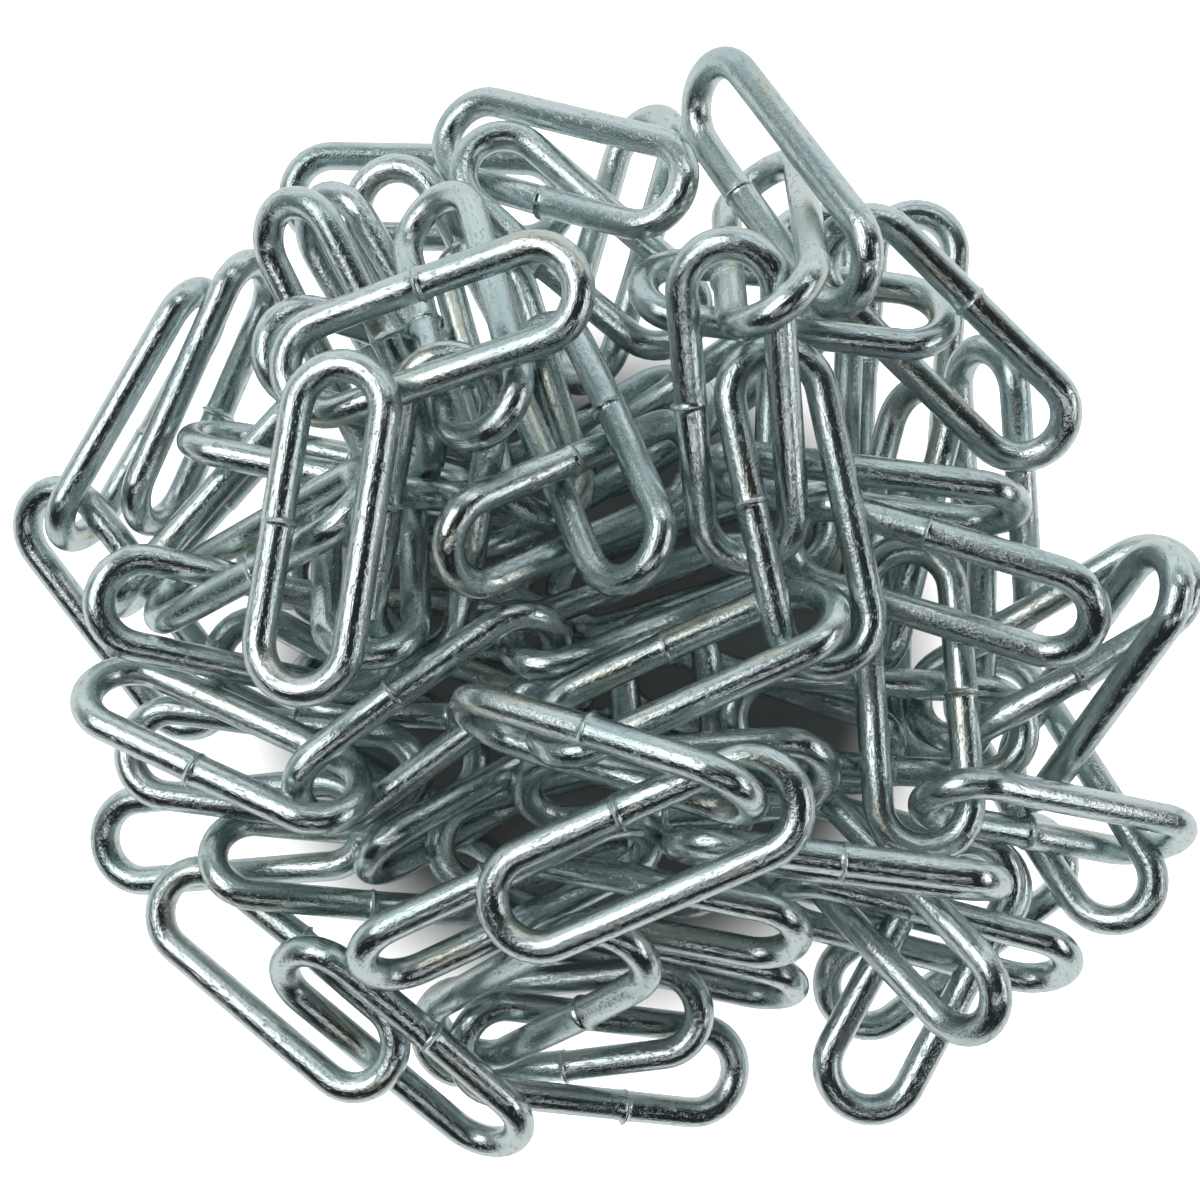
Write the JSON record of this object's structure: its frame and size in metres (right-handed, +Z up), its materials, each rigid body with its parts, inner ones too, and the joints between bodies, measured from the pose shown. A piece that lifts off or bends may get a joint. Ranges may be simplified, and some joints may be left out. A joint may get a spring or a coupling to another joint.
{
  "type": "heap of steel chain",
  "caption": "Loose heap of bright zinc-plated long-link steel chain, its interlinked round-wire links lying over each other on a level floor.",
  "frame": {"origin": "centre of the heap's bounding box, on the floor", "axes": "+Z up from the floor, +X to the right and +Y away from the viewer of the picture"},
  "size_m": [0.12, 0.109, 0.0366],
  "materials": {
    "bright_zinc": "bright zinc plating, glossy, faintly pitted"
  },
  "bodies": {
    "root": {"bottom_link_01": "bright_zinc", "bottom_link_02": "bright_zinc", "bottom_link_03": "bright_zinc", "bottom_link_04": "bright_zinc", "bottom_link_05": "bright_zinc", "bottom_link_06": "bright_zinc", "bottom_link_07": "bright_zinc", "bottom_link_08": "bright_zinc", "bottom_link_09": "bright_zinc", "bottom_link_10": "bright_zinc", "bottom_link_11": "bright_zinc", "left_link_01": "bright_zinc", "left_link_02": "bright_zinc", "left_link_03": "bright_zinc", "left_link_04": "bright_zinc", "left_link_05": "bright_zinc", "left_link_06": "bright_zinc", "left_link_08": "bright_zinc", "left_link_09": "bright_zinc", "left_link_10": "bright_zinc", "left_link_11": "bright_zinc", "left_link_12": "bright_zinc", "left_link_13": "bright_zinc", "middle_link_01": "bright_zinc", "middle_link_02": "bright_zinc", "middle_link_03": "bright_zinc", "middle_link_04": "bright_zinc", "middle_link_06": "bright_zinc", "right_link_01": "bright_zinc", "right_link_02": "bright_zinc", "right_link_03": "bright_zinc", "right_link_04": "bright_zinc", "right_link_05": "bright_zinc", "right_link_06": "bright_zinc", "top_link_01": "bright_zinc", "top_link_02": "bright_zinc", "top_link_03": "bright_zinc", "top_link_04": "bright_zinc", "top_link_05": "bright_zinc", "top_link_06": "bright_zinc", "top_link_07": "bright_zinc", "top_link_08": "bright_zinc", "top_link_09": "bright_zinc", "top_link_10": "bright_zinc", "top_link_11": "bright_zinc", "top_link_13": "bright_zinc", "top_link_14": "bright_zinc", "upper_link_01": "bright_zinc", "upper_link_02": "bright_zinc", "upper_link_03": "bright_zinc", "upper_link_05": "bright_zinc", "upper_link_06": "bright_zinc", "upper_link_07": "bright_zinc", "upper_link_08": "bright_zinc", "upper_link_09": "bright_zinc", "upper_link_10": "bright_zinc", "upper_link_11": "bright_zinc", "upper_link_12": "bright_zinc", "upper_link_13": "bright_zinc", "upper_link_14": "bright_zinc"}
  },
  "joints": []
}
